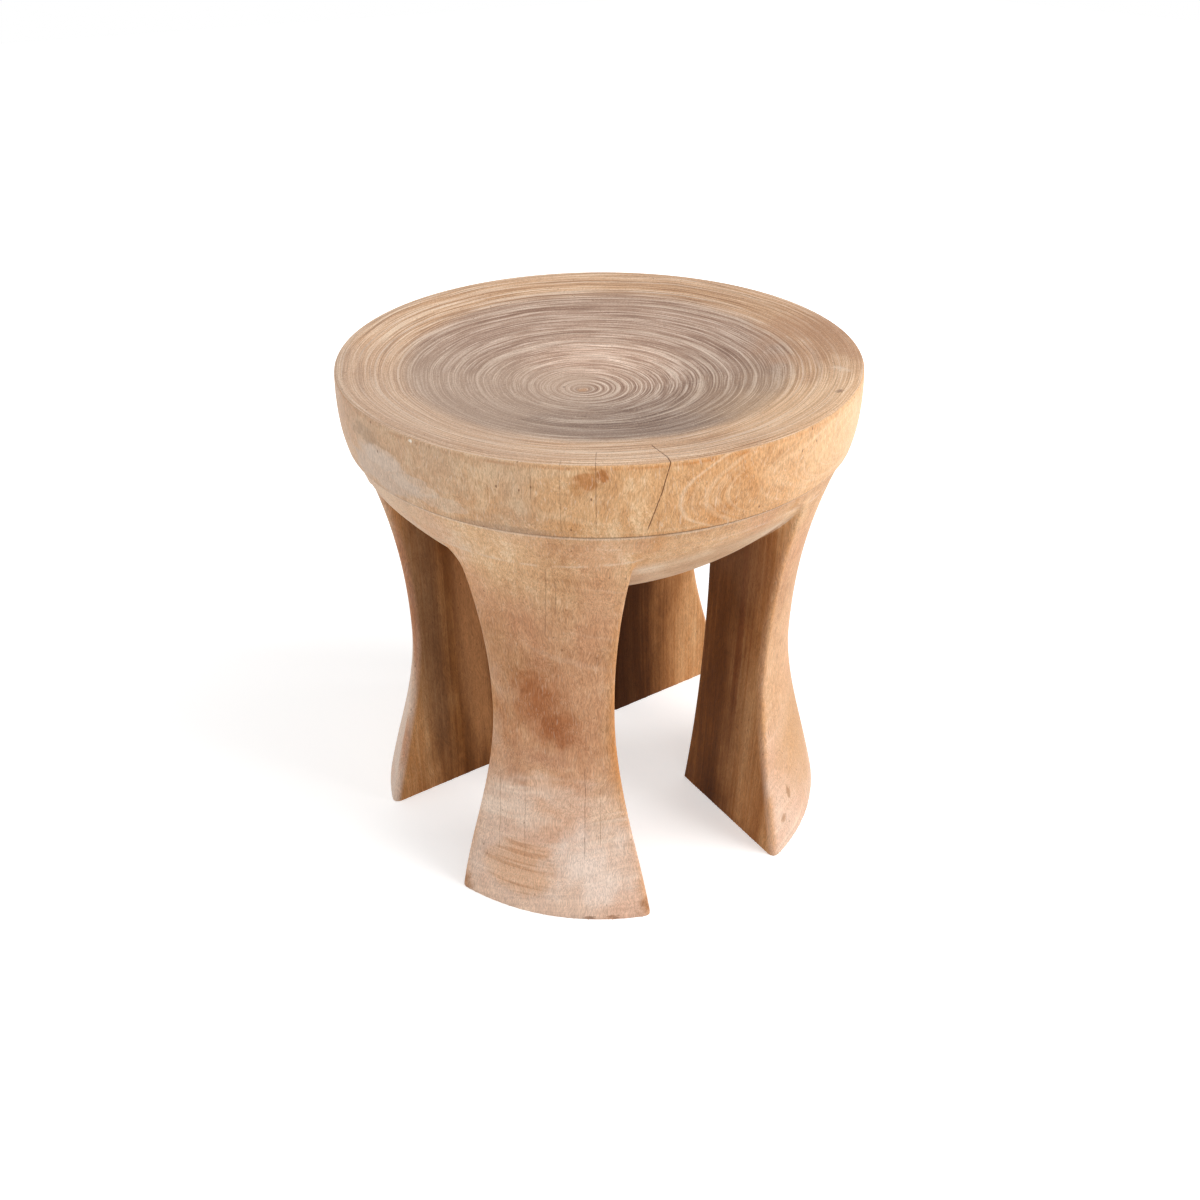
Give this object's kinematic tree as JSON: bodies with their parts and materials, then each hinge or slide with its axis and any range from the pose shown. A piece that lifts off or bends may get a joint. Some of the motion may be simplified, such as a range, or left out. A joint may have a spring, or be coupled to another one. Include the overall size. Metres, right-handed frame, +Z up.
{
  "type": "stool",
  "caption": "Low round wooden stool or side table with a dished end-grain seat, a domed crown beneath it and flared quarter-round legs between crossing arches.",
  "frame": {"origin": "on the floor, under the middle of the seat", "axes": "+Z up through the seat; the two arches between the legs run along X and along Y, so the legs stand on the diagonals; the picture is taken from between -X and -Y, so leg_front_left is nearest to it"},
  "size_m": [0.402, 0.402, 0.41],
  "materials": {
    "seat_wood": "sanded mango wood, end grain on top with close brown rings, long grain on the side, satin",
    "crown_wood": "sanded mango wood, pale tan, matt",
    "leg_wood": "sanded mango wood, pinkish tan with brown streaks and fine drying checks, matt",
    "dowel_wood": "plain pale hardwood rod, unfinished"
  },
  "bodies": {
    "root": {"seat": "seat_wood", "crown": "crown_wood", "leg_front_left": "leg_wood", "leg_front_right": "leg_wood", "leg_back_right": "leg_wood", "leg_back_left": "leg_wood", "leg_front_left_dowel_a": "dowel_wood", "leg_front_left_dowel_b": "dowel_wood", "leg_front_right_dowel_a": "dowel_wood", "leg_front_right_dowel_b": "dowel_wood", "leg_back_right_dowel_a": "dowel_wood", "leg_back_right_dowel_b": "dowel_wood", "leg_back_left_dowel_a": "dowel_wood", "leg_back_left_dowel_b": "dowel_wood", "seat_dowel_right": "dowel_wood", "seat_dowel_back": "dowel_wood", "seat_dowel_left": "dowel_wood", "seat_dowel_front": "dowel_wood"}
  },
  "joints": []
}
